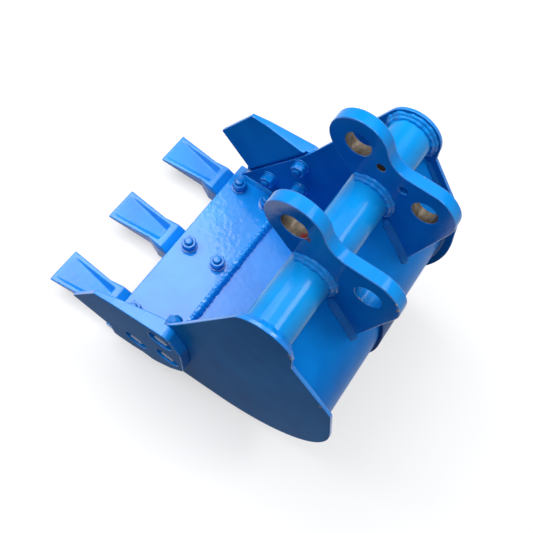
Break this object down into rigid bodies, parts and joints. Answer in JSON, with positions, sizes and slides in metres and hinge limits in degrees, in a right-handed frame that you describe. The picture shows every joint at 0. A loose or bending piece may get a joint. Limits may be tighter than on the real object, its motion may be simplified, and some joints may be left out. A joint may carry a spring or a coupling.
{
  "type": "digging bucket",
  "caption": "Welded digging bucket for a small excavator, with pin ears on a torque tube, bolted teeth along the lip and bolted side cutters.",
  "frame": {"origin": "middle of the stick pin's bore, half way between the two ears", "axes": "+X across the bucket to its right-hand side plate, +Y from the teeth towards the back of the bucket, +Z from the lip plate up towards the ears, square to the flat floor behind the lip"},
  "size_m": [0.44, 0.596, 0.605],
  "materials": {
    "shell_paint": "gloss blue paint on rolled steel plate",
    "lip_paint": "gloss blue paint on a thick steel lip plate",
    "tube_paint": "gloss blue paint on steel tube",
    "ear_paint": "gloss blue paint on thick plate, with bare machined pin bores",
    "tooth_paint": "gloss blue paint on cast steel",
    "cutter_paint": "gloss blue paint on thick steel plate",
    "fastener_paint": "blue paint over zinc plated bolts, nuts and washers",
    "weld_paint": "gloss blue paint over rippled weld metal"
  },
  "bodies": {
    "root": {"side_plate_left": "shell_paint", "side_plate_right": "shell_paint", "wrapper": "shell_paint", "cutting_edge": "lip_paint", "torque_tube_left": "tube_paint", "torque_tube_centre": "tube_paint", "torque_tube_right": "tube_paint", "ear_left": "ear_paint", "ear_right": "ear_paint", "heel_strap": "shell_paint", "tooth_left": "tooth_paint", "tooth_centre": "tooth_paint", "tooth_right": "tooth_paint", "side_cutter_left": "cutter_paint", "side_cutter_right": "cutter_paint", "tooth_bolts": "fastener_paint", "tooth_flat_washers": "fastener_paint", "tooth_spring_washers": "fastener_paint", "tooth_nuts": "fastener_paint", "cutter_bolts_left": "fastener_paint", "cutter_washers_left": "fastener_paint", "cutter_nuts_left": "fastener_paint", "cutter_bolts_right": "fastener_paint", "cutter_washers_right": "fastener_paint", "cutter_nuts_right": "fastener_paint", "tube_ring_welds": "weld_paint", "ear_foot_welds": "weld_paint", "tube_seam_weld": "weld_paint", "lip_rear_weld": "weld_paint", "lip_side_welds": "weld_paint", "wrapper_inner_welds": "weld_paint", "wrapper_outer_welds": "weld_paint"}
  },
  "joints": []
}
